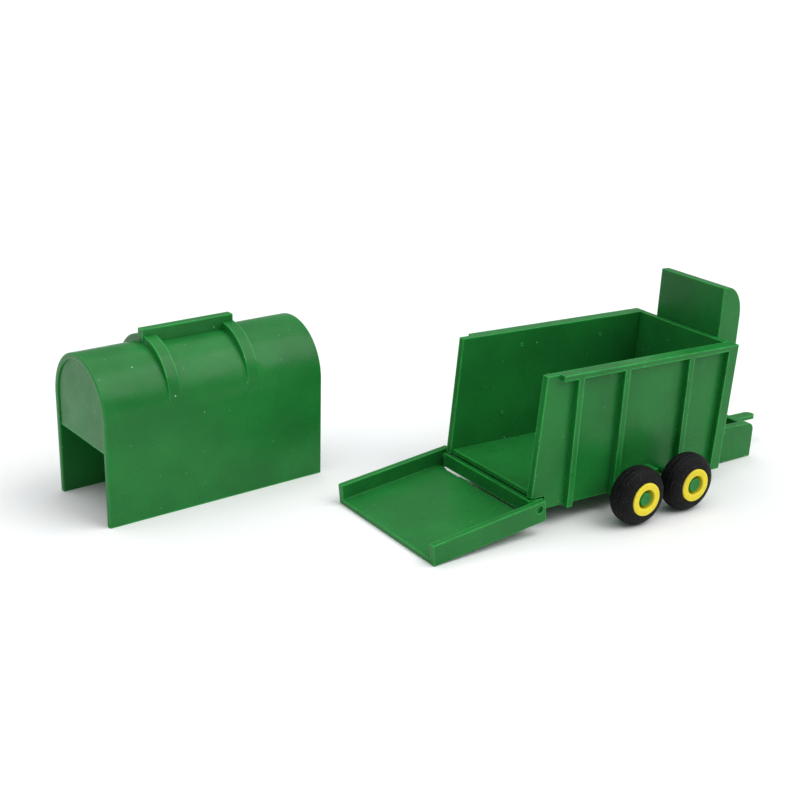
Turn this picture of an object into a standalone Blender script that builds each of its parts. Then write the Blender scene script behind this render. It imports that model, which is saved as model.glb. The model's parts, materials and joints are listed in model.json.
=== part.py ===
"""Small-scale toy farm wagon with a loose arched cover.

The wagon is an open box on four wheels. A tray-shaped tailgate is pinned under the floor's rear
edge, and a spout tower, a header frame and a tongue stand at the front. The arched cover is a
separate moulding that stands beside the wagon.

Units are metres, +Z is up and +X points to the tongue. The origin is at the middle of the table
area that the wagon and the cover take up together.
"""
import math

import bmesh
import bpy

MM = 0.001
GAP = 0.1 * MM                      # between neighbouring pieces of the same moulding
RUNNING_CLEARANCE = 0.08 * MM       # radial, round a shaft that turns
EDGE_RADIUS = 0.15 * MM             # moulded outer edges
REACH = 2.0 * MM                    # how far a cutter runs past what it cuts

# Where the wagon stands: nose-down by a small pitch, because the header rests on the table.
WAGON_X = -3.86 * MM
WAGON_Y = -17.02 * MM
WAGON_PITCH = 0.029
WAGON_HEIGHT = 8.544 * MM           # from the table to the wagon frame's origin

# Wagon box, in the wagon frame: x from the rear, z from just above the floor's underside.
BOX_HALF_WIDTH = 16.3 * MM
WALL = 1.7 * MM
WALL_TOP = 28.3 * MM
WALL_BOTTOM = -3.6 * MM
WALL_REAR_TOP_X = 1.2 * MM
WALL_REAR_BOTTOM_X = -0.5 * MM
WALL_FRONT_TOP_X = 60.0 * MM
WALL_FRONT_BOTTOM_X = 58.6 * MM
NOTCH_X = 3.3 * MM
FLOOR_TOP = 0.6 * MM
FLOOR_BOTTOM = -0.5 * MM
FLOOR_LENGTH = 56.9 * MM

# Outer ribs, top rail and front flange of a side wall.
RIB_HALF_WIDTH = 17.7 * MM
RIB_WIDTH = 1.6 * MM
RIB_REARS = (9.2 * MM, 23.2 * MM, 43.7 * MM)
RIB_BOTTOM = -4.0 * MM
RAIL_REAR_X = 4.9 * MM
RAIL_DEPTH = 1.3 * MM
FLANGE_WIDTH = 3.0 * MM
RIB_ROOT = 0.4 * MM                 # how deep the ribs are set into the wall

# Hinge bar and pins.
BAR_HALF_DEPTH = 1.2 * MM
BAR_TOP = -0.9 * MM
BAR_BOTTOM = -4.1 * MM
BAR_HALF_WIDTH = 16.2 * MM
PIN_X = -0.15 * MM
PIN_Z = -2.05 * MM
PIN_HOLE_RADIUS = 0.85 * MM
PIN_INNER_Y = 14.1 * MM
PIN_OUTER_Y = 18.5 * MM

# Tailgate, measured from its pin axis: x forward along the tray, z square to it.
GATE_LENGTH = 31.1 * MM
GATE_HALF_WIDTH = 19.18 * MM
GATE_RAIL = 1.6 * MM
GATE_RAIL_HEIGHT = 5.0 * MM
GATE_PLATE = 1.3 * MM
GATE_FRONT_X = 1.65 * MM
GATE_BOTTOM_Z = -3.31 * MM
GATE_SLOT_X = -1.85 * MM            # front edge of the plate, behind the bar
GATE_LIP_X = -1.5 * MM              # front edge of the corner gussets and of the tab
GATE_SLOT_HALF_WIDTH = 14.6 * MM
GATE_TAB = (5.3 * MM, 9.1 * MM)

# Spout tower and header frame.
TOWER_HALF_WIDTH = 10.7 * MM
TOWER_REAR_X = 60.2 * MM
TOWER_FRONT_X = 67.0 * MM
TOWER_TOP = 40.5 * MM
TOWER_FLAT = 1.6 * MM               # flat part of the tower's top, before the round front
TOWER_ROUND_DEPTH = 7.6 * MM        # height of the round front, more than its length
TOWER_WALL = 1.0 * MM
TOWER_DUCT_TOP = 33.0 * MM
HEADER_HALF_WIDTH = 10.8 * MM
HEADER_PLATE = 2.0 * MM
HEADER_REAR_X = 59.1 * MM
HEADER_FRONT_X = 77.9 * MM
HEADER_REAR_TOP = 3.5 * MM
HEADER_FRONT_TOP = 3.0 * MM
HEADER_BOTTOM = -6.28 * MM
HEADER_CORNER = 2.0 * MM
CROSS_BAR_X = (74.2 * MM, 75.9 * MM)
CROSS_BAR_TOP = 3.0 * MM
TONGUE_TIP_X = 89.7 * MM
TONGUE_HALF_WIDTH = 1.55 * MM
TONGUE_THICKNESS = 1.0 * MM

# Wheels. Axle positions are along the table, from the wagon frame's origin.
AXLE_X = {"rear": 23.59 * MM, "front": 39.21 * MM}
STUB_ROOT_Y = {"rear": RIB_HALF_WIDTH + GAP, "front": BOX_HALF_WIDTH + GAP}
TYRE_RADIUS = 7.0 * MM
TYRE_INNER_Y = 21.9 * MM
TYRE_OUTER_Y = 28.24 * MM
TYRE_SECTION = 3.45 * MM            # from the bead to the tread
TYRE_ROUNDNESS = 2.5                # exponent of the section's superellipse
RIM_FACE_Y = 28.49 * MM
RIM_INNER_Y = 22.7 * MM
RIM_LIP_RADIUS = 4.0 * MM
RIM_BARREL_RADIUS = 3.55 * MM
RIM_LIP_THICKNESS = 0.6 * MM
RIM_RECESS_RADIUS = 2.35 * MM
RIM_RECESS_FLOOR_RADIUS = 2.1 * MM
RIM_RECESS_DEPTH = 2.2 * MM
HUB_BORE_RADIUS = 1.5 * MM
STUB_SHOULDER_RADIUS = 1.6 * MM
STUB_HEAD_RADIUS = 1.65 * MM
STUB_HEAD_INSET = 0.3 * MM
STUB_HEAD_CHAMFER = 0.25 * MM
WHEEL_STEPS = 28

# Block on each side wall, halfway between the axles.
BLOCK_LENGTH = 7.4 * MM
BLOCK_OUTER_Y = 20.0 * MM
BLOCK_TOP = 1.6 * MM
BLOCK_BOTTOM = -3.4 * MM

# Cover, measured from the middle of its rear end on the table.
COVER_X = -85.166 * MM
COVER_Y = 29.484 * MM
COVER_YAW = 0.055
COVER_LENGTH = 57.0 * MM
COVER_HALF_WIDTH = 12.9 * MM
COVER_LEG = 24.58 * MM
COVER_WALL = 1.49 * MM
COVER_PANEL_BOTTOM = 17.3 * MM
COVER_PANEL_INSET = 0.4 * MM
COVER_PANEL_ROOT = 0.6 * MM         # how deep an end panel is set into the shell
BAND_STARTS = (16.0 * MM, 36.55 * MM)
BAND_WIDTH = 3.2 * MM
BAND_RISE = 1.8 * MM
BAND_FADE_ANGLE = math.radians(8.0)
RIDGE_X = (15.8 * MM, 39.5 * MM)
RIDGE_HALF_WIDTH = 1.1 * MM
RIDGE_TOP = 40.8 * MM
ARCH_STEPS = 28

GREEN = (0.030, 0.235, 0.060)
YELLOW = (0.800, 0.640, 0.020)
BLACK = (0.016, 0.015, 0.015)


def clear_scene():
    for old in list(bpy.data.objects):
        bpy.data.objects.remove(old, do_unlink=True)


def new_collection(name):
    made = bpy.data.collections.new(name)
    bpy.context.scene.collection.children.link(made)
    return made


clear_scene()
PARTS = new_collection("toy_stack_wagon")
CUTTERS = new_collection("cutters")


def material(name, colour, roughness):
    made = bpy.data.materials.new(name)
    made.use_nodes = True
    shader = made.node_tree.nodes["Principled BSDF"]
    shader.inputs["Base Color"].default_value = (*colour, 1.0)
    shader.inputs["Roughness"].default_value = roughness
    shader.inputs["Metallic"].default_value = 0.0
    return made


def green_plastic(piece):
    piece.data.materials.append(material(piece.name + "_plastic", GREEN, 0.32))


def yellow_plastic(piece):
    piece.data.materials.append(material(piece.name + "_plastic", YELLOW, 0.30))


def black_rubber(piece):
    piece.data.materials.append(material(piece.name + "_rubber", BLACK, 0.75))


def new_object(name, data, parent=None, cutter=False):
    made = bpy.data.objects.new(name, data)
    (CUTTERS if cutter else PARTS).objects.link(made)
    made.parent = parent
    if cutter:
        made.hide_render = True
        made.display_type = "WIRE"
    return made


def frame(name, location, rotation, parent=None):
    """An empty that carries the pieces of one moving or tilted group."""
    made = new_object(name, None, parent)
    made.location = location
    made.rotation_euler = rotation
    return made


def box(name, low, high, parent=None, cutter=False):
    """A box between two corners, with its origin at its centre."""
    bm = bmesh.new()
    bmesh.ops.create_cube(bm, size=1.0)
    bmesh.ops.scale(bm, vec=[b - a for a, b in zip(low, high)], verts=bm.verts)
    mesh = bpy.data.meshes.new(name)
    bm.to_mesh(mesh)
    bm.free()
    made = new_object(name, mesh, parent, cutter)
    made.location = [(a + b) / 2 for a, b in zip(low, high)]
    return made


def cross_rod(name, x, z, y_ends, radius, parent=None, cutter=False, steps=24):
    """A round rod that lies along Y."""
    bm = bmesh.new()
    bmesh.ops.create_cone(bm, cap_ends=True, segments=steps, radius1=radius, radius2=radius,
                          depth=abs(y_ends[1] - y_ends[0]))
    mesh = bpy.data.meshes.new(name)
    bm.to_mesh(mesh)
    bm.free()
    made = new_object(name, mesh, parent, cutter)
    made.location = (x, sum(y_ends) / 2, z)
    made.rotation_euler = (math.pi / 2, 0, 0)
    return made


def prism(name, outline, thickness, parent=None, cutter=False):
    """A flat outline in local X and Y, extruded both ways along local Z, as a mesh."""
    curve = bpy.data.curves.new(name, "CURVE")
    curve.dimensions = "2D"
    curve.fill_mode = "BOTH"
    curve.extrude = thickness / 2
    spline = curve.splines.new("POLY")
    spline.points.add(len(outline) - 1)
    for point, (x, y) in zip(spline.points, outline):
        point.co = (x, y, 0.0, 1.0)
    spline.use_cyclic_u = True
    source = new_object(name + "_outline", curve)
    bpy.context.view_layer.update()
    ready = source.evaluated_get(bpy.context.evaluated_depsgraph_get())
    mesh = bpy.data.meshes.new_from_object(ready)
    bm = bmesh.new()
    bm.from_mesh(mesh)
    bmesh.ops.remove_doubles(bm, verts=bm.verts, dist=0.001 * MM)
    bmesh.ops.recalc_face_normals(bm, faces=bm.faces)
    bm.to_mesh(mesh)
    bm.free()
    mesh.name = name
    made = new_object(name, mesh, cutter=cutter)
    made.matrix_world = source.matrix_world
    made.parent = parent
    bpy.data.objects.remove(source, do_unlink=True)
    return made


def side_prism(name, outline, y_ends, parent=None, cutter=False):
    """An outline in X and Z, extruded across the wagon between two Y values."""
    made = prism(name, outline, abs(y_ends[1] - y_ends[0]), parent, cutter)
    made.location = (0, sum(y_ends) / 2, 0)
    made.rotation_euler = (math.pi / 2, 0, 0)
    return made


def end_prism(name, outline, x_ends, parent=None, cutter=False):
    """An outline in Y and Z, extruded lengthways between two X values."""
    made = prism(name, outline, abs(x_ends[1] - x_ends[0]), parent, cutter)
    made.location = (sum(x_ends) / 2, 0, 0)
    made.rotation_euler = (math.pi / 2, 0, math.pi / 2)
    return made


def combine(piece, other, operation):
    change = piece.modifiers.new(operation.lower(), "BOOLEAN")
    change.operation = operation
    change.solver = "EXACT"
    change.object = other


def round_edges(piece, width=EDGE_RADIUS, segments=2):
    bevel = piece.modifiers.new("rounded_edges", "BEVEL")
    bevel.width = width
    bevel.segments = segments
    bevel.limit_method = "ANGLE"
    bevel.angle_limit = math.radians(40)


def turned(name, profile, closed, steps=WHEEL_STEPS):
    """A turned piece round local Z; the profile's points are (radius, height)."""
    mesh = bpy.data.meshes.new(name)
    count = len(profile)
    edges = [(i, i + 1) for i in range(count - 1)]
    if closed:
        edges.append((count - 1, 0))
    mesh.from_pydata([(r, 0, z) for r, z in profile], edges, [])
    made = new_object(name, mesh)
    screw = made.modifiers.new("turned", "SCREW")
    screw.steps = steps
    screw.render_steps = steps
    screw.use_merge_vertices = True
    screw.merge_threshold = 0.0001 * MM
    screw.use_smooth_shade = True
    return made


def arc(centre, radius, start, end, steps):
    """Points along an arc, from one angle to another."""
    angles = [start + (end - start) * i / steps for i in range(steps + 1)]
    return [(centre[0] + radius * math.cos(a), centre[1] + radius * math.sin(a)) for a in angles]


WAGON = frame("wagon_frame", (WAGON_X, WAGON_Y, WAGON_HEIGHT), (0, WAGON_PITCH, 0))


def wall_front_x(z):
    """The leaning front face of the box, at a height."""
    share = (z - WALL_BOTTOM) / (WALL_TOP - WALL_BOTTOM)
    return WALL_FRONT_BOTTOM_X + share * (WALL_FRONT_TOP_X - WALL_FRONT_BOTTOM_X)


def floor_pan():
    inner = BOX_HALF_WIDTH - WALL - GAP
    piece = box("floor_pan", (0, -inner, FLOOR_BOTTOM), (FLOOR_LENGTH, inner, FLOOR_TOP), WAGON)
    round_edges(piece)
    green_plastic(piece)


def wall_outline():
    return [
        (WALL_REAR_TOP_X, WALL_TOP),
        (WALL_REAR_BOTTOM_X, FLOOR_BOTTOM),
        (NOTCH_X, FLOOR_BOTTOM),
        (NOTCH_X, WALL_BOTTOM),
        (WALL_FRONT_BOTTOM_X, WALL_BOTTOM),
        (WALL_FRONT_TOP_X, WALL_TOP),
    ]


def rib_outline():
    """Top rail with the ribs and the front flange hanging from it, like a comb."""
    rail_bottom = WALL_TOP - RAIL_DEPTH
    points = [(RAIL_REAR_X, WALL_TOP), (RAIL_REAR_X, rail_bottom)]
    for rear in RIB_REARS:
        front = rear + RIB_WIDTH
        points += [(rear, rail_bottom), (rear, RIB_BOTTOM), (front, RIB_BOTTOM), (front, rail_bottom)]
    points += [
        (wall_front_x(rail_bottom) - FLANGE_WIDTH, rail_bottom),
        (wall_front_x(WALL_BOTTOM) - FLANGE_WIDTH, WALL_BOTTOM),
        (wall_front_x(WALL_BOTTOM), WALL_BOTTOM),
        (wall_front_x(WALL_TOP), WALL_TOP),
    ]
    return points


def side_wall(name, side):
    slab_ends = (side * (BOX_HALF_WIDTH - WALL), side * BOX_HALF_WIDTH)
    rib_ends = (side * (BOX_HALF_WIDTH - RIB_ROOT), side * RIB_HALF_WIDTH)
    piece = side_prism(name, wall_outline(), slab_ends, WAGON)
    ribs = side_prism(name + "_ribs", rib_outline(), rib_ends, WAGON, cutter=True)
    combine(piece, ribs, "UNION")
    round_edges(piece)
    green_plastic(piece)


def front_wall():
    inner = BOX_HALF_WIDTH - WALL - GAP
    outline = [
        (wall_front_x(WALL_TOP) - WALL, WALL_TOP),
        (wall_front_x(WALL_BOTTOM) - WALL, WALL_BOTTOM),
        (wall_front_x(WALL_BOTTOM), WALL_BOTTOM),
        (wall_front_x(WALL_TOP), WALL_TOP),
    ]
    piece = side_prism("front_wall", outline, (-inner, inner), WAGON)
    round_edges(piece)
    green_plastic(piece)


def hinge_bar():
    low = (-BAR_HALF_DEPTH, -BAR_HALF_WIDTH, BAR_BOTTOM)
    high = (BAR_HALF_DEPTH, BAR_HALF_WIDTH, BAR_TOP)
    piece = box("hinge_bar", low, high, WAGON)
    for side in (-1, 1):
        ends = sorted((side * (BOX_HALF_WIDTH - WALL + GAP), side * (BAR_HALF_WIDTH - GAP)))
        foot = box(
            "hinge_bar_foot", (0, ends[0], WALL_BOTTOM + GAP), (NOTCH_X - GAP, ends[1], BAR_TOP - GAP),
            WAGON, cutter=True,
        )
        combine(piece, foot, "UNION")
        bore_ends = (side * (PIN_INNER_Y - GAP), side * (BAR_HALF_WIDTH + REACH))
        bore = cross_rod("pin_bore", PIN_X, PIN_Z, bore_ends, PIN_HOLE_RADIUS, WAGON, cutter=True)
        combine(piece, bore, "DIFFERENCE")
    green_plastic(piece)


def hinge_pin(name, side):
    ends = (side * PIN_INNER_Y, side * PIN_OUTER_Y)
    radius = PIN_HOLE_RADIUS - RUNNING_CLEARANCE
    piece = cross_rod(name, PIN_X, PIN_Z, ends, radius, WAGON)
    piece.data.shade_smooth()
    piece.data.set_sharp_from_angle(angle=math.radians(40))
    green_plastic(piece)


def gate_slope():
    """Slope that rests the tray's lower rear edge on the table."""
    pin_height = WAGON_HEIGHT + math.cos(WAGON_PITCH) * PIN_Z - math.sin(WAGON_PITCH) * PIN_X
    reach = GATE_LENGTH - GATE_FRONT_X
    drop = -GATE_BOTTOM_Z
    return math.asin(pin_height / math.hypot(reach, drop)) - math.atan2(drop, reach)


def tailgate():
    tilt = (0, -(WAGON_PITCH + gate_slope()), 0)
    hinge = frame("tailgate_hinge", (PIN_X, 0, PIN_Z), tilt, WAGON)
    rear = GATE_FRONT_X - GATE_LENGTH
    top = GATE_BOTTOM_Z + GATE_RAIL_HEIGHT
    inner = GATE_HALF_WIDTH - GATE_RAIL
    piece = box(
        "tailgate", (rear, -GATE_HALF_WIDTH, GATE_BOTTOM_Z), (GATE_FRONT_X, GATE_HALF_WIDTH, top), hinge)
    tray = box(
        "tray_space", (rear - REACH, -inner, GATE_BOTTOM_Z + GATE_PLATE),
        (GATE_FRONT_X + REACH, inner, top + REACH), hinge, cutter=True,
    )
    combine(piece, tray, "DIFFERENCE")
    slot_spans = (
        ("lip_slot", GATE_LIP_X, -inner, inner),
        ("tray_slot_long", GATE_SLOT_X, -GATE_SLOT_HALF_WIDTH, GATE_TAB[0]),
        ("tray_slot_short", GATE_SLOT_X, GATE_TAB[1], GATE_SLOT_HALF_WIDTH),
    )
    for name, back, low_y, high_y in slot_spans:
        slot = box(
            name, (back, low_y, GATE_BOTTOM_Z - REACH), (GATE_FRONT_X + REACH, high_y, top + REACH),
            hinge, cutter=True,
        )
        combine(piece, slot, "DIFFERENCE")
    for side in (-1, 1):
        hole_ends = (side * (inner - REACH / 2), side * (GATE_HALF_WIDTH + REACH))
        hole = cross_rod("pin_hole", 0, 0, hole_ends, PIN_HOLE_RADIUS, hinge, cutter=True)
        combine(piece, hole, "DIFFERENCE")
    round_edges(piece)
    green_plastic(piece)


def spout_tower():
    length = TOWER_FRONT_X - TOWER_REAR_X - TOWER_FLAT
    centre = (TOWER_REAR_X + TOWER_FLAT, TOWER_TOP - TOWER_ROUND_DEPTH)
    bottom = HEADER_REAR_TOP + GAP
    outline = [
        (centre[0] + length * x, centre[1] + TOWER_ROUND_DEPTH * z)
        for x, z in arc((0, 0), 1, math.pi / 2, 0, 14)
    ]
    outline += [(TOWER_FRONT_X, bottom), (TOWER_REAR_X, bottom), (TOWER_REAR_X, TOWER_TOP)]
    piece = side_prism("spout_tower", outline, (-TOWER_HALF_WIDTH, TOWER_HALF_WIDTH), WAGON)
    inner = TOWER_HALF_WIDTH - TOWER_WALL
    duct = box(
        "spout_duct", (TOWER_REAR_X + TOWER_WALL, -inner, bottom - REACH),
        (TOWER_FRONT_X - TOWER_WALL, inner, TOWER_DUCT_TOP), WAGON, cutter=True,
    )
    combine(piece, duct, "DIFFERENCE")
    round_edges(piece)
    green_plastic(piece)


def header_plate(name, side):
    centre = (HEADER_FRONT_X - HEADER_CORNER, HEADER_FRONT_TOP - HEADER_CORNER)
    outline = [(HEADER_REAR_X, HEADER_REAR_TOP)]
    outline += arc(centre, HEADER_CORNER, math.pi / 2, 0, 6)
    outline += [(HEADER_FRONT_X, HEADER_BOTTOM), (HEADER_REAR_X, HEADER_BOTTOM)]
    ends = (side * (HEADER_HALF_WIDTH - HEADER_PLATE), side * HEADER_HALF_WIDTH)
    piece = side_prism(name, outline, ends, WAGON)
    round_edges(piece)
    green_plastic(piece)


def header_cross_bar():
    inner = HEADER_HALF_WIDTH - HEADER_PLATE - GAP
    low = (CROSS_BAR_X[0], -inner, HEADER_BOTTOM + GAP)
    high = (CROSS_BAR_X[1], inner, CROSS_BAR_TOP)
    piece = box("header_cross_bar", low, high, WAGON)
    round_edges(piece)
    green_plastic(piece)


def tongue():
    centre = (TONGUE_TIP_X - TONGUE_HALF_WIDTH, 0)
    outline = [(CROSS_BAR_X[1] + GAP, -TONGUE_HALF_WIDTH)]
    outline += arc(centre, TONGUE_HALF_WIDTH, -math.pi / 2, math.pi / 2, 14)
    outline += [(CROSS_BAR_X[1] + GAP, TONGUE_HALF_WIDTH)]
    piece = prism("tongue", outline, TONGUE_THICKNESS, WAGON)
    piece.location = (0, 0, -TONGUE_THICKNESS / 2)
    round_edges(piece)
    green_plastic(piece)


def wheel_block(name, side):
    middle = sum(AXLE_X.values()) / 2
    ends = sorted((side * (BOX_HALF_WIDTH + GAP), side * BLOCK_OUTER_Y))
    low = (middle - BLOCK_LENGTH / 2, ends[0], BLOCK_BOTTOM)
    high = (middle + BLOCK_LENGTH / 2, ends[1], BLOCK_TOP)
    piece = box(name, low, high, WAGON)
    round_edges(piece)
    green_plastic(piece)


def stub_profile(root):
    """Heights run outwards from the wagon's centre plane."""
    shaft = HUB_BORE_RADIUS - RUNNING_CLEARANCE
    end = RIM_FACE_Y - STUB_HEAD_INSET
    head = RIM_FACE_Y - RIM_RECESS_DEPTH + GAP
    shoulder = RIM_INNER_Y - GAP
    return [
        (0, end),
        (STUB_HEAD_RADIUS - STUB_HEAD_CHAMFER, end),
        (STUB_HEAD_RADIUS, end - STUB_HEAD_CHAMFER),
        (STUB_HEAD_RADIUS, head),
        (shaft, head),
        (shaft, shoulder),
        (STUB_SHOULDER_RADIUS, shoulder),
        (STUB_SHOULDER_RADIUS, root),
        (0, root),
    ]


def rim_profile():
    floor = RIM_FACE_Y - RIM_RECESS_DEPTH
    lip_back = RIM_FACE_Y - RIM_LIP_THICKNESS
    flange = RIM_INNER_Y + RIM_LIP_THICKNESS
    lip_round = RIM_LIP_THICKNESS / 3
    return [
        (RIM_LIP_RADIUS - lip_round, RIM_FACE_Y),
        (RIM_LIP_RADIUS, RIM_FACE_Y - lip_round),
        (RIM_LIP_RADIUS, lip_back),
        (RIM_BARREL_RADIUS, lip_back),
        (RIM_BARREL_RADIUS, flange),
        (RIM_LIP_RADIUS, flange),
        (RIM_LIP_RADIUS, RIM_INNER_Y),
        (HUB_BORE_RADIUS, RIM_INNER_Y),
        (HUB_BORE_RADIUS, floor),
        (RIM_RECESS_FLOOR_RADIUS, floor),
        (RIM_RECESS_RADIUS, RIM_FACE_Y - lip_round),
        (RIM_RECESS_RADIUS + lip_round, RIM_FACE_Y),
    ]


def tyre_profile():
    """A rounded section outside the rim's lips, and a straight bead seat between them."""
    middle_y = (TYRE_INNER_Y + TYRE_OUTER_Y) / 2
    half_width = (TYRE_OUTER_Y - TYRE_INNER_Y) / 2
    core = TYRE_RADIUS - TYRE_SECTION
    steps = 15
    points = []
    for i in range(1, steps):
        angle = math.pi * i / steps
        across = math.copysign(abs(math.cos(angle)) ** (2 / TYRE_ROUNDNESS), math.cos(angle))
        out = math.sin(angle) ** (2 / TYRE_ROUNDNESS)
        points.append((core + TYRE_SECTION * out, middle_y + half_width * across))
    lip_back = RIM_FACE_Y - RIM_LIP_THICKNESS - GAP
    flange = RIM_INNER_Y + RIM_LIP_THICKNESS + GAP
    side_radius = RIM_LIP_RADIUS + GAP
    bead = RIM_BARREL_RADIUS + GAP
    kept = [p for p in points if p[0] > side_radius]
    outer = [(side_radius, min(kept[0][1], TYRE_OUTER_Y)), (side_radius, lip_back), (bead, lip_back)]
    inner = [(bead, flange), (side_radius, flange), (side_radius, kept[-1][1])]
    return outer[:1] + kept + inner[::-1] + outer[:0:-1]


def on_axle(piece, axle, side):
    """Lay a turned piece on its axle, with its outer end away from the wagon."""
    piece.location = (WAGON_X + AXLE_X[axle], WAGON_Y, TYRE_RADIUS)
    piece.rotation_euler = (-side * math.pi / 2, 0, 0)


def wheels():
    for axle in AXLE_X:
        for side_name, side in (("right", -1), ("left", 1)):
            place = axle + "_" + side_name
            stub = turned("axle_stub_" + place, stub_profile(STUB_ROOT_Y[axle]), closed=False)
            rim = turned("wheel_rim_" + place, rim_profile(), closed=True)
            tyre = turned("tyre_" + place, tyre_profile(), closed=True)
            for piece in (stub, rim, tyre):
                on_axle(piece, axle, side)
            green_plastic(stub)
            yellow_plastic(rim)
            black_rubber(tyre)


def arch_outline(half_width, leg_bottom):
    """A round-topped section: straight legs with a half circle on them, in Y and Z."""
    points = [(half_width, leg_bottom)]
    points += arc((0, COVER_LEG), half_width, 0, math.pi, ARCH_STEPS)
    points += [(-half_width, leg_bottom)]
    return points


def band_outline():
    """A crescent that rises above the ridge and fades into the arch near its legs."""
    grown = COVER_HALF_WIDTH + BAND_RISE
    fade = COVER_HALF_WIDTH * math.sin(BAND_FADE_ANGLE)
    shift = (grown ** 2 - COVER_HALF_WIDTH ** 2) / (2 * (grown - fade))
    start = math.asin((fade - shift) / (grown - shift))
    return arc((0, COVER_LEG + shift), grown - shift, start, math.pi - start, ARCH_STEPS)


def cover():
    stand = frame("cover_frame", (COVER_X, COVER_Y, 0), (0, 0, COVER_YAW))
    inner = COVER_HALF_WIDTH - COVER_WALL
    piece = end_prism("cover", arch_outline(COVER_HALF_WIDTH, 0), (0, COVER_LENGTH), stand)
    for start in BAND_STARTS:
        band = end_prism("cover_band", band_outline(), (start, start + BAND_WIDTH), stand, cutter=True)
        combine(piece, band, "UNION")
    ridge = box(
        "cover_ridge", (RIDGE_X[0], -RIDGE_HALF_WIDTH, COVER_LEG + inner),
        (RIDGE_X[1], RIDGE_HALF_WIDTH, RIDGE_TOP), stand, cutter=True,
    )
    combine(piece, ridge, "UNION")
    hollow = end_prism(
        "cover_hollow", arch_outline(inner, -REACH), (-REACH, COVER_LENGTH + REACH), stand, cutter=True)
    combine(piece, hollow, "DIFFERENCE")
    rear = COVER_PANEL_INSET
    front = COVER_LENGTH - COVER_PANEL_INSET - COVER_WALL
    for start in (rear, front):
        panel = end_prism(
            "cover_end_panel", arch_outline(inner + COVER_PANEL_ROOT, COVER_PANEL_BOTTOM),
            (start, start + COVER_WALL), stand, cutter=True,
        )
        combine(piece, panel, "UNION")
    round_edges(piece)
    green_plastic(piece)


floor_pan()
side_wall("side_wall_right", -1)
side_wall("side_wall_left", 1)
front_wall()
hinge_bar()
hinge_pin("hinge_pin_right", -1)
hinge_pin("hinge_pin_left", 1)
tailgate()
spout_tower()
header_plate("header_plate_right", -1)
header_plate("header_plate_left", 1)
header_cross_bar()
tongue()
wheel_block("wheel_block_right", -1)
wheel_block("wheel_block_left", 1)
wheels()
cover()
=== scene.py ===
"""Looks for the toy wagon and its loose cover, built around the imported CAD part.

The moulded pieces of the wagon are welded, smooth-shaded copies of their CAD solids. The wheels,
the axle stubs and the cover are built again here with finer sections. Lengths are in metres.
"""

import json
import math

import bmesh
import bpy
from mathutils import Matrix, Vector


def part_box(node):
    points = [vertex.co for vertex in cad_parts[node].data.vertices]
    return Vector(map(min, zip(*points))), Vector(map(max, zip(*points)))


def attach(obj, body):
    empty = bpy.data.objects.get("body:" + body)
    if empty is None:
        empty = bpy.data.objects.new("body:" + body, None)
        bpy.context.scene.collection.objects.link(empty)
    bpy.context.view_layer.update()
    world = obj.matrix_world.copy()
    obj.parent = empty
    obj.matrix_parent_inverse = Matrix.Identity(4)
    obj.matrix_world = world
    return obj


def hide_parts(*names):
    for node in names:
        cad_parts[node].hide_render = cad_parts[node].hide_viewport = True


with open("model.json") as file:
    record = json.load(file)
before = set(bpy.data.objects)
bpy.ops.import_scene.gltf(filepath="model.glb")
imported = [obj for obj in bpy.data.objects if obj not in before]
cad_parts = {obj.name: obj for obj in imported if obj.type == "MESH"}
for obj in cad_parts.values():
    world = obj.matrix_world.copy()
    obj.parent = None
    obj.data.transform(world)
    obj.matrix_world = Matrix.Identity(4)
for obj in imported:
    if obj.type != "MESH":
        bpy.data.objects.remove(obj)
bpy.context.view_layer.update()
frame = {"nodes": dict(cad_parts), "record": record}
NODES = frame["nodes"]
RECORD = frame["record"]

MM = 0.001
SLOT_OF = {entry["node"]: entry["material_slot"] for entry in RECORD["subparts"]}
BODY_OF = {node: body for body, nodes in RECORD["behaviour"]["bodies"].items() for node in nodes}
SHARP_EDGE = math.radians(37)       # edges that turn further than this stay crisp
PATCH = 2.2 * MM                    # largest face of a moulded copy, along each axis
WELD = 0.002 * MM                   # corners of a CAD solid nearer than this are one corner
SAME_PLANE = math.radians(0.5)      # faces that turn less than this are one face
CUT_TOLERANCE = 0.001 * MM          # a cut this near a corner goes through it
AXIS_WELD = 0.0005 * MM             # corners of a turned piece nearer than this are one corner


def link_object(name, data):
    made = bpy.data.objects.new(name, data)
    bpy.context.scene.collection.objects.link(made)
    return made


def smooth_object(name, mesh):
    """An object with rounded shading between its crisp edges."""
    mesh.shade_smooth()
    mesh.set_sharp_from_angle(angle=SHARP_EDGE)
    return link_object(name, mesh)


# ---------------------------------------------------------------- camera and studio

CAMERA_PLACE = Vector((-190.947, -248.828, 136.940)) * MM
CAMERA_YAW = -0.6073
CAMERA_PITCH = 0.3576
CAMERA_ROLL = 0.0284
CAMERA_LENS = 62.1
SENSOR_WIDTH = 36
CLIP_START = 0.01

SKY_COLOUR = (0.94, 0.97, 1.0, 1.0)
SKY_STRENGTH = 0.38
SUN_STRENGTH = 1.65
# Name, where the light comes from, where it points, and the angle its disc fills in degrees.
SUNS = (
    ("key", (0.50, -0.50, 0.80), (0.02, 0.0, 0.02), 50),
    ("overhead", (-0.10, 0.15, 0.95), (0.0, 0.0, 0.0), 80),
)


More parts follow.
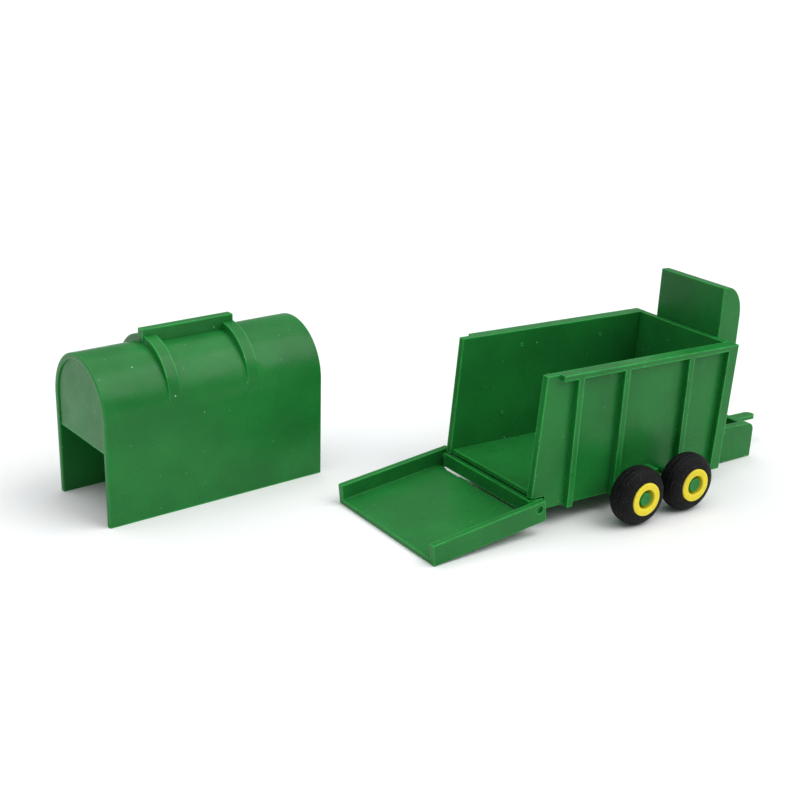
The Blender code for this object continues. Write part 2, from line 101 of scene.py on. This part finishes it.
def add_camera():
    """A level turn to the right, a look down and a small roll, in that order."""
    forward = Vector((
        -math.sin(CAMERA_YAW) * math.cos(CAMERA_PITCH),
        math.cos(CAMERA_YAW) * math.cos(CAMERA_PITCH),
        -math.sin(CAMERA_PITCH),
    ))
    right = forward.cross(Vector((0, 0, 1))).normalized()
    up = right.cross(forward)
    rolled_right = math.cos(CAMERA_ROLL) * right + math.sin(CAMERA_ROLL) * up
    rolled_up = -math.sin(CAMERA_ROLL) * right + math.cos(CAMERA_ROLL) * up
    data = bpy.data.cameras.new("camera")
    data.lens = CAMERA_LENS
    data.sensor_width = SENSOR_WIDTH
    data.clip_start = CLIP_START
    camera = link_object("camera", data)
    axes = Matrix((rolled_right, rolled_up, -forward)).transposed()
    camera.matrix_world = Matrix.Translation(CAMERA_PLACE) @ axes.to_4x4()
    bpy.context.scene.camera = camera


def soft_sun(name, place, target, spread):
    """A wide, even light that shines from one side of the studio."""
    data = bpy.data.lights.new(name, "SUN")
    data.angle = math.radians(spread)
    data.energy = SUN_STRENGTH
    light = link_object(name, data)
    light.location = place
    light.rotation_euler = (Vector(target) - Vector(place)).to_track_quat("-Z", "Y").to_euler()


def add_lights():
    bpy.context.scene.view_settings.view_transform = "Standard"
    world = bpy.data.worlds.new("studio")
    world.use_nodes = True
    sky = world.node_tree.nodes["Background"]
    sky.inputs["Color"].default_value = SKY_COLOUR
    sky.inputs["Strength"].default_value = SKY_STRENGTH
    bpy.context.scene.world = world
    for name, place, target, spread in SUNS:
        soft_sun(name, place, target, spread)


# ---------------------------------------------------------------- materials

class Nodes:
    """Short hand for building one material's node tree."""

    def __init__(self, name):
        self.material = bpy.data.materials.new(name)
        self.material.use_nodes = True
        self.tree = self.material.node_tree
        self.shader = self.tree.nodes["Principled BSDF"]
        self.place = self.add("ShaderNodeTexCoord").outputs["Object"]

    def add(self, kind, **settings):
        node = self.tree.nodes.new(kind)
        for key, value in settings.items():
            setattr(node, key, value)
        return node

    def link(self, output, target):
        self.tree.links.new(output, target)

    def math(self, operation, first, second):
        node = self.add("ShaderNodeMath", operation=operation)
        for socket, value in zip(node.inputs, (first, second)):
            if isinstance(value, (int, float)):
                socket.default_value = value
            else:
                self.link(value, socket)
        return node.outputs[0]

    def noise(self, scale, detail=2.0, roughness=0.5):
        node = self.add("ShaderNodeTexNoise")
        node.inputs["Scale"].default_value = scale
        node.inputs["Detail"].default_value = detail
        node.inputs["Roughness"].default_value = roughness
        self.link(self.place, node.inputs["Vector"])
        return node.outputs["Fac"]

    def mix(self, share, first, second):
        """From the first colour to the second; a colour is a tuple or another node's output."""
        node = self.add("ShaderNodeMix", data_type="RGBA")
        share_socket, first_socket, second_socket = 0, 6, 7
        for key, value in ((share_socket, share), (first_socket, first), (second_socket, second)):
            if isinstance(value, tuple):
                node.inputs[key].default_value = (*value, 1.0)
            else:
                self.link(value, node.inputs[key])
        mixed_colour = 2
        return node.outputs[mixed_colour]

    def span(self, value, low, high, to_low=0.0, to_high=1.0):
        """A smooth step from to_low at low to to_high at high."""
        node = self.add("ShaderNodeMapRange")
        node.interpolation_type = "SMOOTHSTEP"
        node.inputs["From Min"].default_value = low
        node.inputs["From Max"].default_value = high
        node.inputs["To Min"].default_value = to_low
        node.inputs["To Max"].default_value = to_high
        self.link(value, node.inputs["Value"])
        return node.outputs["Result"]

    def edges(self, radius):
        """Mask for the painted edge highlight: 1 on outer edges, 0 on flats and in corners: a
        bevelled normal's turn, in the open.
        """
        samples = 6
        flat, turned_away = 0.998, 0.93
        sheltered, open_air = 0.72, 0.95
        bevel = self.add("ShaderNodeBevel", samples=samples)
        bevel.inputs["Radius"].default_value = radius
        geometry = self.add("ShaderNodeNewGeometry")
        dot = self.add("ShaderNodeVectorMath", operation="DOT_PRODUCT")
        self.link(bevel.outputs["Normal"], dot.inputs[0])
        self.link(geometry.outputs["Normal"], dot.inputs[1])
        turned = self.span(dot.outputs["Value"], flat, turned_away)
        shelter = self.add("ShaderNodeAmbientOcclusion", samples=samples, only_local=True)
        shelter.inputs["Distance"].default_value = 1.5 * radius
        outside = self.span(shelter.outputs["AO"], sheltered, open_air)
        return self.math("MULTIPLY", turned, outside)

    def specks(self, spacing, size, share, seed):
        """Small round flecks with soft rims: one in a share of the cells of a 3-D pattern."""
        shifted = self.add("ShaderNodeVectorMath", operation="ADD")
        shifted.inputs[1].default_value = (seed, seed * 0.7, seed * 1.3)
        self.link(self.place, shifted.inputs[0])
        cells = self.add("ShaderNodeTexVoronoi")
        cells.inputs["Scale"].default_value = 1 / spacing
        self.link(shifted.outputs[0], cells.inputs["Vector"])
        split = self.add("ShaderNodeSeparateColor")
        self.link(cells.outputs["Color"], split.inputs[0])
        near = self.span(cells.outputs["Distance"], size / spacing, 0.6 * size / spacing)
        chosen = self.math("LESS_THAN", split.outputs[0], share)
        return self.math("MULTIPLY", near, chosen)

    def bump(self, height, distance, strength=1.0, normal=None):
        node = self.add("ShaderNodeBump")
        node.inputs["Strength"].default_value = strength
        node.inputs["Distance"].default_value = distance
        self.link(height, node.inputs["Height"])
        if normal is not None:
            self.link(normal, node.inputs["Normal"])
        return node.outputs["Normal"]


def shade(colour, factor):
    return tuple(min(1.0, c * factor) for c in colour)


GREEN = (0.013, 0.178, 0.031)
# The paler edge colours below are a painted highlight laid along outer edges, where light catches
# them.
GREEN_EDGE_HIGHLIGHT = (0.030, 0.50, 0.075)
GREEN_ROUGHNESS = 0.30
YELLOW = (0.780, 0.640, 0.020)
YELLOW_EDGE_HIGHLIGHT = (0.95, 0.88, 0.25)
YELLOW_ROUGHNESS = 0.24
PLASTIC_DUST = (0.62, 0.80, 0.62)
RUBBER = (0.0025, 0.0025, 0.0032)
WORN_RUBBER = (0.0085, 0.0080, 0.0085)
RUBBER_DUST = (0.12, 0.11, 0.11)
# Width of the band that carries the painted edge highlight.
EDGE_HIGHLIGHT_WIDTH = 0.55 * MM
FINE_DUST = (1.7 * MM, 0.12 * MM, 0.30)     # spacing, size and share of the cells
FLUFF = (4.0 * MM, 0.22 * MM, 0.30)
RUBBER_GRAINS = (0.75 * MM, 0.14 * MM, 0.50)
FLUFF_SEED_STEP = 3.1


def moulded_plastic(name, colour, seed, roughness=GREEN_ROUGHNESS, edge=GREEN_EDGE_HIGHLIGHT):
    """Semi-gloss injection-moulded plastic: cloudy flow, a painted highlight along outer edges, a
    little dust.
    """
    n = Nodes(name)
    flow = n.noise(55, 3.0, 0.55)
    cloudy = n.mix(n.span(flow, 0.35, 0.65), shade(colour, 0.86), shade(colour, 1.10))
    mottle = n.noise(1500, 2.0)
    grain = n.mix(n.span(mottle, 0.35, 0.65, 0.0, 0.16), cloudy, shade(colour, 0.70))
    # Painted highlight: outer edges are mixed towards the paler edge colour, in uneven patches,
    # standing in for light catching the rounded edges.
    highlight_patchiness = n.span(n.noise(260, 3.0), 0.30, 0.62, 0.35, 0.80)
    edge_highlit = n.mix(n.math("MULTIPLY", n.edges(EDGE_HIGHLIGHT_WIDTH), highlight_patchiness), grain, edge)
    dust = n.specks(*FINE_DUST, seed)
    fluff = n.specks(*FLUFF, seed + FLUFF_SEED_STEP)
    specks = n.math("MULTIPLY", n.math("MAXIMUM", dust, fluff), 0.60)
    n.link(n.mix(specks, edge_highlit, PLASTIC_DUST), n.shader.inputs["Base Color"])
    haze = n.span(n.noise(190, 4.0, 0.6), 0.30, 0.70, roughness - 0.05, roughness + 0.10)
    rough = n.math("ADD", haze, n.math("MULTIPLY", specks, 0.4))
    n.link(rough, n.shader.inputs["Roughness"])
    ripple = n.bump(n.noise(90, 1.0), 0.05 * MM, 0.30)
    skin = n.bump(n.noise(2600, 2.0), 0.010 * MM, 0.5, ripple)
    n.link(skin, n.shader.inputs["Normal"])
    n.shader.inputs["IOR"].default_value = 1.46
    n.shader.inputs["Specular IOR Level"].default_value = 0.24
    n.shader.inputs["Subsurface Weight"].default_value = 0.12
    n.shader.inputs["Subsurface Scale"].default_value = 1.2 * MM
    n.shader.inputs["Subsurface Radius"].default_value = (0.35, 1.0, 0.45)
    return n.material


def tyre_rubber(name, seed):
    """Matt black rubber with a fine pebbled skin and grey dust."""
    n = Nodes(name)
    patches = n.span(n.noise(420, 4.0, 0.65), 0.42, 0.72)
    worn = n.mix(patches, RUBBER, WORN_RUBBER)
    grains = n.specks(*RUBBER_GRAINS, seed)
    dusty = n.mix(n.math("MULTIPLY", grains, 0.60), worn, RUBBER_DUST)
    n.link(dusty, n.shader.inputs["Base Color"])
    n.link(n.span(patches, 0.0, 1.0, 0.58, 0.80), n.shader.inputs["Roughness"])
    skin = n.bump(n.noise(1500, 3.0, 0.6), 0.20 * MM, 1.0)
    n.link(skin, n.shader.inputs["Normal"])
    n.shader.inputs["Specular IOR Level"].default_value = 0.16
    return n.material


MATERIAL_OF_SLOT = {
    "box_green": moulded_plastic("box_plastic", GREEN, 0.0),
    "gate_green": moulded_plastic("gate_plastic", shade(GREEN, 1.03), 1.7),
    "header_green": moulded_plastic("header_plastic", shade(GREEN, 0.97), 2.9),
    "cover_green": moulded_plastic("cover_plastic", GREEN, 4.3),
    "rim_yellow": moulded_plastic("rim_plastic", YELLOW, 5.1, YELLOW_ROUGHNESS, YELLOW_EDGE_HIGHLIGHT),
    "tyre_black": tyre_rubber("tyre_rubber", 6.7),
}


# ---------------------------------------------------------------- pieces

def finish_piece(piece, node):
    """Give a piece the body, slot and material of the CAD node that it stands for."""
    piece.data.materials.clear()
    piece.data.materials.append(MATERIAL_OF_SLOT[SLOT_OF[node]])
    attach(piece, BODY_OF[node])
    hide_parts(node)


def slice_into_patches(bm):
    """Cut every face along an even grid, so that rounded edges don't shade across whole panels."""
    for axis in range(3):
        places = [v.co[axis] for v in bm.verts]
        low, high = min(places), max(places)
        count = int((high - low) / PATCH)
        for i in range(1, count + 1):
            point = Vector((0, 0, 0))
            point[axis] = low + (high - low) * i / (count + 1)
            normal = Vector((0, 0, 0))
            normal[axis] = 1
            whole = bm.verts[:] + bm.edges[:] + bm.faces[:]
            bmesh.ops.bisect_plane(
                bm, geom=whole, dist=CUT_TOLERANCE, plane_co=point, plane_no=normal)


def smooth_copy(node):
    """The CAD solid with its flat triangles joined and its rounded edges shaded round."""
    mesh = NODES[node].data.copy()
    bm = bmesh.new()
    bm.from_mesh(mesh)
    bmesh.ops.remove_doubles(bm, verts=bm.verts, dist=WELD)
    bmesh.ops.dissolve_limit(bm, angle_limit=SAME_PLANE, verts=bm.verts, edges=bm.edges)
    slice_into_patches(bm)
    bm.to_mesh(mesh)
    bm.free()
    piece = smooth_object("moulded_" + node, mesh)
    normals = piece.modifiers.new("even_normals", "WEIGHTED_NORMAL")
    normals.keep_sharp = True
    finish_piece(piece, node)


# Wheels: radii, depths and lengths of the tyres, rims and stubs, and how finely each is cut.
WHEEL_STEPS = 96                    # round the axle
STUB_STEPS = 64
LIP_STEPS = 8                       # along a rounded lip
TYRE_STEPS = 96                     # along the tyre's section
TYRE_SECTION = 3.45 * MM            # from the core circle to the tread
TYRE_ROUNDNESS = 2.5                # exponent of the section's superellipse
TYRE_BEAD = 3.7 * MM
TYRE_TRIM = 0.4 * MM                # the section starts this far above the bead
TYRE_SIDE = 0.45 * MM               # step from the bead to the side
TYRE_SEAT = 2.0 * MM                # half width of the bead seat
TYRE_GROOVES = (                    # angle round the section, depth
    (0.95, 0.10 * MM), (1.30, 0.14 * MM), (1.62, 0.16 * MM), (1.94, 0.16 * MM), (2.26, 0.14 * MM),
)
GROOVE_SPREAD = 0.055               # half width of a groove, as an angle
RIM_LIP_ROUND = 0.30 * MM
RIM_LIP_THICKNESS = 0.6 * MM
RIM_MOUTH = 2.35 * MM               # radius of the recess at the face
RIM_FLOOR = 2.1 * MM                # radius of the recess at its floor
RIM_DEPTH = 2.2 * MM
RIM_BORE = 1.5 * MM
RIM_BARREL = 3.55 * MM
STUB_HEAD = 1.65 * MM               # radii of the head, the shaft, the shoulder and the root
STUB_SHAFT = 1.42 * MM
STUB_SHOULDER = 1.5 * MM
STUB_ROOT = 0.9 * MM
STUB_HEAD_ROUND = 0.28 * MM
STUB_HEAD_DEPTH = 2.1 * MM          # from the rim's face to the head's back
STUB_DISH = (0.10 * MM, 0.08 * MM)  # at the middle and half way out
STUB_SHOULDER_LENGTH = 0.8 * MM
STUB_SHOULDER_GAP = 0.1 * MM        # behind the rim


def arc(centre, radius, start, end, steps):
    """Points along an arc, from one angle to another."""
    angles = [start + (end - start) * i / steps for i in range(steps + 1)]
    return [(centre[0] + radius * math.cos(a), centre[1] + radius * math.sin(a)) for a in angles]


def turned_mesh(name, profile, closed, steps):
    """A (radius, height) profile turned round local Z."""
    mesh = bpy.data.meshes.new(name)
    edges = [(i, i + 1) for i in range(len(profile) - 1)]
    if closed:
        edges.append((len(profile) - 1, 0))
    mesh.from_pydata([(r, 0, h) for r, h in profile], edges, [])
    bm = bmesh.new()
    bm.from_mesh(mesh)
    bmesh.ops.spin(
        bm, geom=bm.verts[:] + bm.edges[:], cent=(0, 0, 0), axis=(0, 0, 1), angle=2 * math.pi,
        steps=steps, use_merge=True,
    )
    bmesh.ops.remove_doubles(bm, verts=bm.verts, dist=AXIS_WELD)
    bmesh.ops.recalc_face_normals(bm, faces=bm.faces)
    bm.to_mesh(mesh)
    bm.free()
    return mesh


def turned_piece(name, node, profile, closed, steps=WHEEL_STEPS):
    """Turn a profile round the node's axle; its heights run outwards from the node's middle."""
    low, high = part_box(node)
    centre = (low + high) / 2
    outward = -1 if node.endswith("right") else 1
    mesh = turned_mesh(name, profile, closed, steps)
    turn = Matrix.Rotation(-outward * math.pi / 2, 4, "X")
    mesh.transform(Matrix.Translation(centre) @ turn)
    finish_piece(smooth_object(name, mesh), node)


def node_sizes(node):
    """(largest radius, half width) of a node that lies on an axle."""
    low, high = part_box(node)
    return (high.z - low.z) / 2, (high.y - low.y) / 2


def tyre(node):
    """A balloon tyre: a rounded section with shallow grooves run round its tread."""
    radius, half_width = node_sizes(node)
    core = radius - TYRE_SECTION
    points = []
    for i in range(TYRE_STEPS + 1):
        angle = math.pi * i / TYRE_STEPS
        across = math.copysign(abs(math.cos(angle)) ** (2 / TYRE_ROUNDNESS), math.cos(angle))
        out = math.sin(angle) ** (2 / TYRE_ROUNDNESS)
        cut = sum(
            depth * math.exp(-((angle - at) / GROOVE_SPREAD) ** 2) for at, depth in TYRE_GROOVES)
        r = core + TYRE_SECTION * out - cut * math.sin(angle)
        h = (half_width - cut * abs(math.cos(angle))) * across
        if r > TYRE_BEAD + TYRE_TRIM:
            points.append((r, h))
    side = TYRE_BEAD + TYRE_SIDE
    inside = [(side, points[-1][1]), (side, -TYRE_SEAT), (TYRE_BEAD, -TYRE_SEAT)]
    outside = [(TYRE_BEAD, TYRE_SEAT), (side, TYRE_SEAT), (side, points[0][1])]
    turned_piece("rubber_" + node, node, points + inside + outside, closed=True)


def wheel_rim(node):
    """A rim with a broad rounded lip, a tapered recess and a bored hub."""
    lip, face = node_sizes(node)
    back = -face
    floor = face - RIM_DEPTH
    lip_back = face - RIM_LIP_THICKNESS
    flange = back + RIM_LIP_THICKNESS
    round_middle = face - RIM_LIP_ROUND
    outer_round = (lip - RIM_LIP_ROUND, round_middle)
    inner_round = (RIM_MOUTH + RIM_LIP_ROUND, round_middle)
    profile = arc(outer_round, RIM_LIP_ROUND, math.pi / 2, 0, LIP_STEPS)
    profile += [(lip, lip_back), (RIM_BARREL, lip_back), (RIM_BARREL, flange), (lip, flange)]
    profile += [(lip, back), (RIM_BORE, back), (RIM_BORE, floor), (RIM_FLOOR, floor)]
    profile += arc(inner_round, RIM_LIP_ROUND, math.pi, math.pi / 2, LIP_STEPS)
    profile.append(((lip + RIM_MOUTH) / 2, face))
    turned_piece("moulded_" + node, node, profile, closed=True)


def axle_stub(node):
    """A stepped stub, tapered to its root, with a faintly dished head that keeps the wheel on."""
    low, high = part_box(node)
    half = (high.y - low.y) / 2
    wheel_low, wheel_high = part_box(node.replace("axle_stub", "wheel_rim"))
    outer = max(abs(low.y - MID_Y), abs(high.y - MID_Y))
    middle = outer - half
    rim_face = max(abs(wheel_low.y - MID_Y), abs(wheel_high.y - MID_Y))
    rim_back = min(abs(wheel_low.y - MID_Y), abs(wheel_high.y - MID_Y))
    head_back = rim_face - STUB_HEAD_DEPTH - middle
    shoulder = rim_back - STUB_SHOULDER_GAP - middle
    head_round = (STUB_HEAD - STUB_HEAD_ROUND, half - STUB_HEAD_ROUND)
    profile = [(0, half - STUB_DISH[0]), (STUB_HEAD / 2, half - STUB_DISH[1])]
    profile += arc(head_round, STUB_HEAD_ROUND, math.pi / 2, 0, LIP_STEPS)
    profile += [(STUB_HEAD, head_back), (STUB_SHAFT, head_back), (STUB_SHAFT, shoulder)]
    profile += [(STUB_SHOULDER, shoulder), (STUB_SHOULDER, shoulder - STUB_SHOULDER_LENGTH)]
    profile += [(STUB_ROOT, -half), (0, -half)]
    turned_piece("moulded_" + node, node, profile, closed=False, steps=STUB_STEPS)


# The cover, in its own frame: x from its rear end, y across, z up from the table.
# The steps say how finely each part of it is cut.
COVER_YAW = 0.055
COVER_LENGTH = 57.0 * MM
COVER_HALF_WIDTH = 12.9 * MM
COVER_LEG = 24.58 * MM
COVER_WALL = 1.49 * MM
COVER_EDGE = 0.30 * MM
PANEL_BOTTOM = 17.3 * MM
PANEL_INSET = 0.4 * MM
PANEL_ROOT = 0.3 * MM
BAND_STARTS = (16.0 * MM, 36.55 * MM)
BAND_WIDTH = 3.2 * MM
BAND_RISE = 1.75 * MM
BAND_FLARE = 0.35 * MM              # width of a band's sloping side
BAND_FADE_ANGLE = math.radians(8)
RIDGE_X = (15.8 * MM, 39.5 * MM)
RIDGE_HALF_WIDTH = 1.1 * MM
RIDGE_TOP = 40.8 * MM
RIDGE_EDGE = 0.22 * MM
PANEL_EDGE = 0.12 * MM
LEG_STEPS = 12
ARCH_STEPS = 72
LENGTH_STEPS = 26
EDGE_STEPS = 5
FLARE_STEPS = 8
BAND_STEPS = 4
PANEL_STEPS = 48
BEVEL_SEGMENTS = 4


def cover_matrix():
    """From the cover's own frame to the world."""
    low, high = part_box("cover")
    middle = (low + high) / 2
    stand = Matrix.Translation((middle.x, middle.y, low.z)) @ Matrix.Rotation(COVER_YAW, 4, "Z")
    return stand @ Matrix.Translation((-COVER_LENGTH / 2, 0, 0))


def cover_piece(name, bm):
    """Turn a bmesh in the cover's own frame into a finished piece of the cover."""
    bmesh.ops.recalc_face_normals(bm, faces=bm.faces)
    mesh = bpy.data.meshes.new(name)
    bm.to_mesh(mesh)
    bm.free()
    mesh.transform(cover_matrix())
    finish_piece(smooth_object(name, mesh), "cover")


def section_path():
    """(y, z, outward y, outward z, angle) along the cover's section, from one leg to the other."""
    legs = [COVER_LEG * i / LEG_STEPS for i in range(LEG_STEPS)]
    path = [(COVER_HALF_WIDTH, z, 1, 0, 0) for z in legs]
    for i in range(ARCH_STEPS + 1):
        angle = math.pi * i / ARCH_STEPS
        y, z = math.cos(angle), math.sin(angle)
        path.append((COVER_HALF_WIDTH * y, COVER_LEG + COVER_HALF_WIDTH * z, y, z, angle))
    return path + [(-COVER_HALF_WIDTH, z, -1, 0, math.pi) for z in reversed(legs)]


def band_height(x, angle):
    """How far a strengthening band stands out: a crescent round the arch with flared sides."""
    fade = math.sin(BAND_FADE_ANGLE)
    lift = max(0.0, (math.sin(angle) - fade) / (1 - fade)) if 0 < angle < math.pi else 0.0
    for start in BAND_STARTS:
        inside = min(x - start, start + BAND_WIDTH - x)
        share = min(1.0, max(0.0, (inside + BAND_FLARE / 2) / BAND_FLARE))
        if share > 0:
            return BAND_RISE * lift * share * share * (3 - 2 * share)
    return 0.0


def length_stations():
    """Places along the cover where its skin has points: an even spread, closer at the bands."""
    stations = {COVER_LENGTH * i / LENGTH_STEPS for i in range(1, LENGTH_STEPS)}
    for start in BAND_STARTS:
        end = start + BAND_WIDTH
        stations = {x for x in stations if not start - BAND_FLARE < x < end + BAND_FLARE}
        half = FLARE_STEPS // 2
        for edge in (start, end):
            stations |= {edge + BAND_FLARE * i / FLARE_STEPS for i in range(-half, half + 1)}
        stations |= {start + BAND_WIDTH * i / BAND_STEPS for i in range(1, BAND_STEPS)}
    return sorted(stations)


def cover_shell():
    """The whole arched sheet with its two bands, swept from leg to leg as one closed ring."""
    angles = [math.pi / 2 * i / EDGE_STEPS for i in range(EDGE_STEPS + 1)]
    rear = [(COVER_EDGE * (1 - math.cos(a)), COVER_EDGE * (math.sin(a) - 1)) for a in angles]
    outer = rear + [(x, 0.0) for x in length_stations()]
    outer += [(COVER_LENGTH - x, out) for x, out in reversed(rear)]
    inner = [(COVER_LENGTH - x, -COVER_WALL - out) for x, out in rear]
    inner += [
        (COVER_LENGTH * i / LENGTH_STEPS, -COVER_WALL) for i in range(LENGTH_STEPS - 1, 0, -1)]
    inner += [(x, -COVER_WALL - out) for x, out in reversed(rear)]
    bm = bmesh.new()
    rings = []
    for y, z, across, up, angle in section_path():
        ring = []
        for i, (x, out) in enumerate(outer + inner):
            grown = out + (band_height(x, angle) if i < len(outer) else 0.0)
            ring.append(bm.verts.new((x, y + across * grown, z + up * grown)))
        rings.append(ring)
    count = len(rings[0])
    for first, second in zip(rings, rings[1:]):
        for i in range(count):
            j = (i + 1) % count
            bm.faces.new((first[i], first[j], second[j], second[i]))
    bm.faces.new(rings[0])
    bm.faces.new(rings[-1])
    cover_piece("moulded_cover_shell", bm)


def rounded_prism(name, outline, low_x, high_x, width):
    """An outline in Y and Z between two X values, with rounded edges."""
    bm = bmesh.new()
    ends = [[bm.verts.new((x, y, z)) for y, z in outline] for x in (low_x, high_x)]
    bm.faces.new(ends[0])
    bm.faces.new(ends[1])
    for i in range(len(outline)):
        j = (i + 1) % len(outline)
        bm.faces.new((ends[0][i], ends[0][j], ends[1][j], ends[1][i]))
    sharp = [e for e in bm.edges if e.calc_face_angle(0) > SHARP_EDGE]
    bmesh.ops.bevel(
        bm, geom=sharp, offset=width, segments=BEVEL_SEGMENTS, profile=0.5, affect="EDGES")
    cover_piece(name, bm)


def cover_end_panel(name, low_x, high_x):
    """The half-round panel that closes one end of the arch."""
    radius = COVER_HALF_WIDTH - COVER_WALL + PANEL_ROOT
    outline = [(radius, PANEL_BOTTOM)] + arc((0, COVER_LEG), radius, 0, math.pi, PANEL_STEPS)
    outline += [(-radius, PANEL_BOTTOM)]
    rounded_prism(name, outline, low_x, high_x, PANEL_EDGE)


def cover_ridge():
    """The bar along the top of the arch."""
    low_z = COVER_LEG + COVER_HALF_WIDTH - COVER_WALL / 2
    half = RIDGE_HALF_WIDTH
    outline = [(half, low_z), (half, RIDGE_TOP), (-half, RIDGE_TOP), (-half, low_z)]
    rounded_prism("moulded_cover_ridge", outline, *RIDGE_X, RIDGE_EDGE)


def cover():
    cover_shell()
    cover_end_panel("moulded_cover_rear_panel", PANEL_INSET, PANEL_INSET + COVER_WALL)
    front = COVER_LENGTH - PANEL_INSET
    cover_end_panel("moulded_cover_front_panel", front - COVER_WALL, front)
    cover_ridge()


# Ejector marks inside the left wall: shares of its length from the rear, and of its height.
EJECTOR_MARKS = {
    "rear_low": (1 / 4, 3 / 8),
    "rear_high": (1 / 3, 7 / 8),
    "front_high": (3 / 4, 5 / 6),
}
MARK_RADIUS = 0.52 * MM
MARK_LIP = 0.13 * MM
MARK_ROOT = 0.30 * MM
MARK_DIMPLE = (0.02 * MM, 0.03 * MM)
MARK_STEPS = 32


def ejector_mark(place, along, above):
    """A low moulded ring with a dimple, set into the wall's inner face."""
    low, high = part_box("side_wall_left")
    profile = [(0, MARK_DIMPLE[0]), (0.45 * MARK_RADIUS, MARK_DIMPLE[1])]
    profile += [(0.70 * MARK_RADIUS, MARK_LIP), (0.85 * MARK_RADIUS, MARK_LIP)]
    profile += [(MARK_RADIUS, 0), (MARK_RADIUS, -MARK_ROOT), (0, -MARK_ROOT)]
    name = "ejector_mark_" + place
    mesh = turned_mesh(name, profile, closed=False, steps=MARK_STEPS)
    spot = Vector((low.x + along * (high.x - low.x), low.y, low.z + above * (high.z - low.z)))
    mesh.transform(Matrix.Translation(spot) @ Matrix.Rotation(math.pi / 2, 4, "X"))
    piece = smooth_object(name, mesh)
    piece.data.materials.append(MATERIAL_OF_SLOT["box_green"])
    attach(piece, "wagon")


def add_pieces():
    cover()
    for place, (along, above) in EJECTOR_MARKS.items():
        ejector_mark(place, along, above)
    for node in sorted(set(NODES) - {"cover"}):
        if node.startswith("tyre"):
            tyre(node)
        elif node.startswith("wheel_rim"):
            wheel_rim(node)
        elif node.startswith("axle_stub"):
            axle_stub(node)
        else:
            smooth_copy(node)


# ---------------------------------------------------------------- table

TABLE_SIZE = 9.0
TABLE_TOP = -0.01 * MM
PAPER_COOL = (0.86, 0.87, 0.875)
PAPER_WARM = (0.90, 0.90, 0.895)


def floor_material():
    """Matt white backdrop paper, a little cloudy and faintly grained."""
    n = Nodes("backdrop_paper")
    tone = n.mix(n.span(n.noise(14, 3.0), 0.3, 0.7), PAPER_COOL, PAPER_WARM)
    n.link(tone, n.shader.inputs["Base Color"])
    n.link(n.bump(n.noise(900, 3.0), 0.05 * MM, 0.3), n.shader.inputs["Normal"])
    n.shader.inputs["Roughness"].default_value = 0.85
    n.shader.inputs["Specular IOR Level"].default_value = 0.2
    return n.material


def add_floor():
    bpy.ops.mesh.primitive_plane_add(size=TABLE_SIZE, location=(0, 0, TABLE_TOP))
    table = bpy.context.object
    table.name = "backdrop"
    table.data.materials.append(floor_material())


tongue_low, tongue_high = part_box("tongue")
MID_Y = (tongue_low.y + tongue_high.y) / 2

add_camera()
add_lights()
add_floor()
add_pieces()
